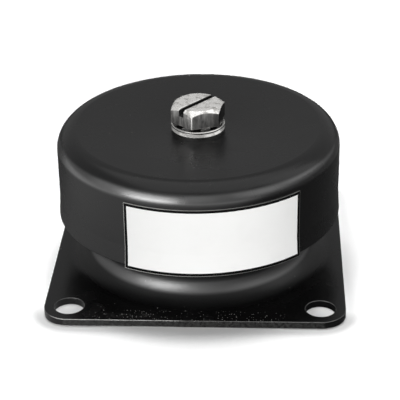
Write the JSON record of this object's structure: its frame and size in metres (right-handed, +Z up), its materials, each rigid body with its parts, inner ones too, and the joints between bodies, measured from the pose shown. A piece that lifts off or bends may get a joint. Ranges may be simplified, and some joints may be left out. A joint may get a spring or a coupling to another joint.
{
  "type": "rubber anti-vibration mount",
  "caption": "Low round vibration isolator: pressed steel hood on a rubber element over a square flanged base, with a slotted hexagon bolt on top.",
  "frame": {"origin": "centre of the base plate's mounting face, which is also the bottom centre of the whole mount", "axes": "+Z up along the mount's axis, from the base plate to the bolt's head; X and Y along the sides of the square flange; the label faces about -Y"},
  "size_m": [0.06, 0.06, 0.0348],
  "materials": {
    "black_paint_base": "semi-gloss black paint on pressed steel, dusty on the flange, worn bright along its edges",
    "black_paint_hood": "satin black paint on pressed steel",
    "natural_rubber": "matt black moulded rubber, bonded to the neck and the hub",
    "plated_steel": "dull zinc-plated steel",
    "bright_steel": "bright plated steel, blotchy and worn on the bolt's head",
    "label": "plain white label with a black frame line and a thin metallic edge"
  },
  "bodies": {
    "base": {"base_plate": "black_paint_base", "rubber_element": "natural_rubber"},
    "top": {"hood": "black_paint_hood", "hub": "plated_steel", "rebound_washer": "plated_steel", "seat_washer": "bright_steel", "flat_washer": "bright_steel", "lock_washer": "bright_steel", "centre_bolt": "bright_steel", "label_plate": "label"}
  },
  "joints": [
    {"name": "hood_travel", "type": "slide", "parent": "base", "child": "top", "axis": [0, 0, 1], "range_m": [-0.005, 0.003], "stiffness_N_per_m": 34000, "deforming": ["rubber_element"]}
  ]
}
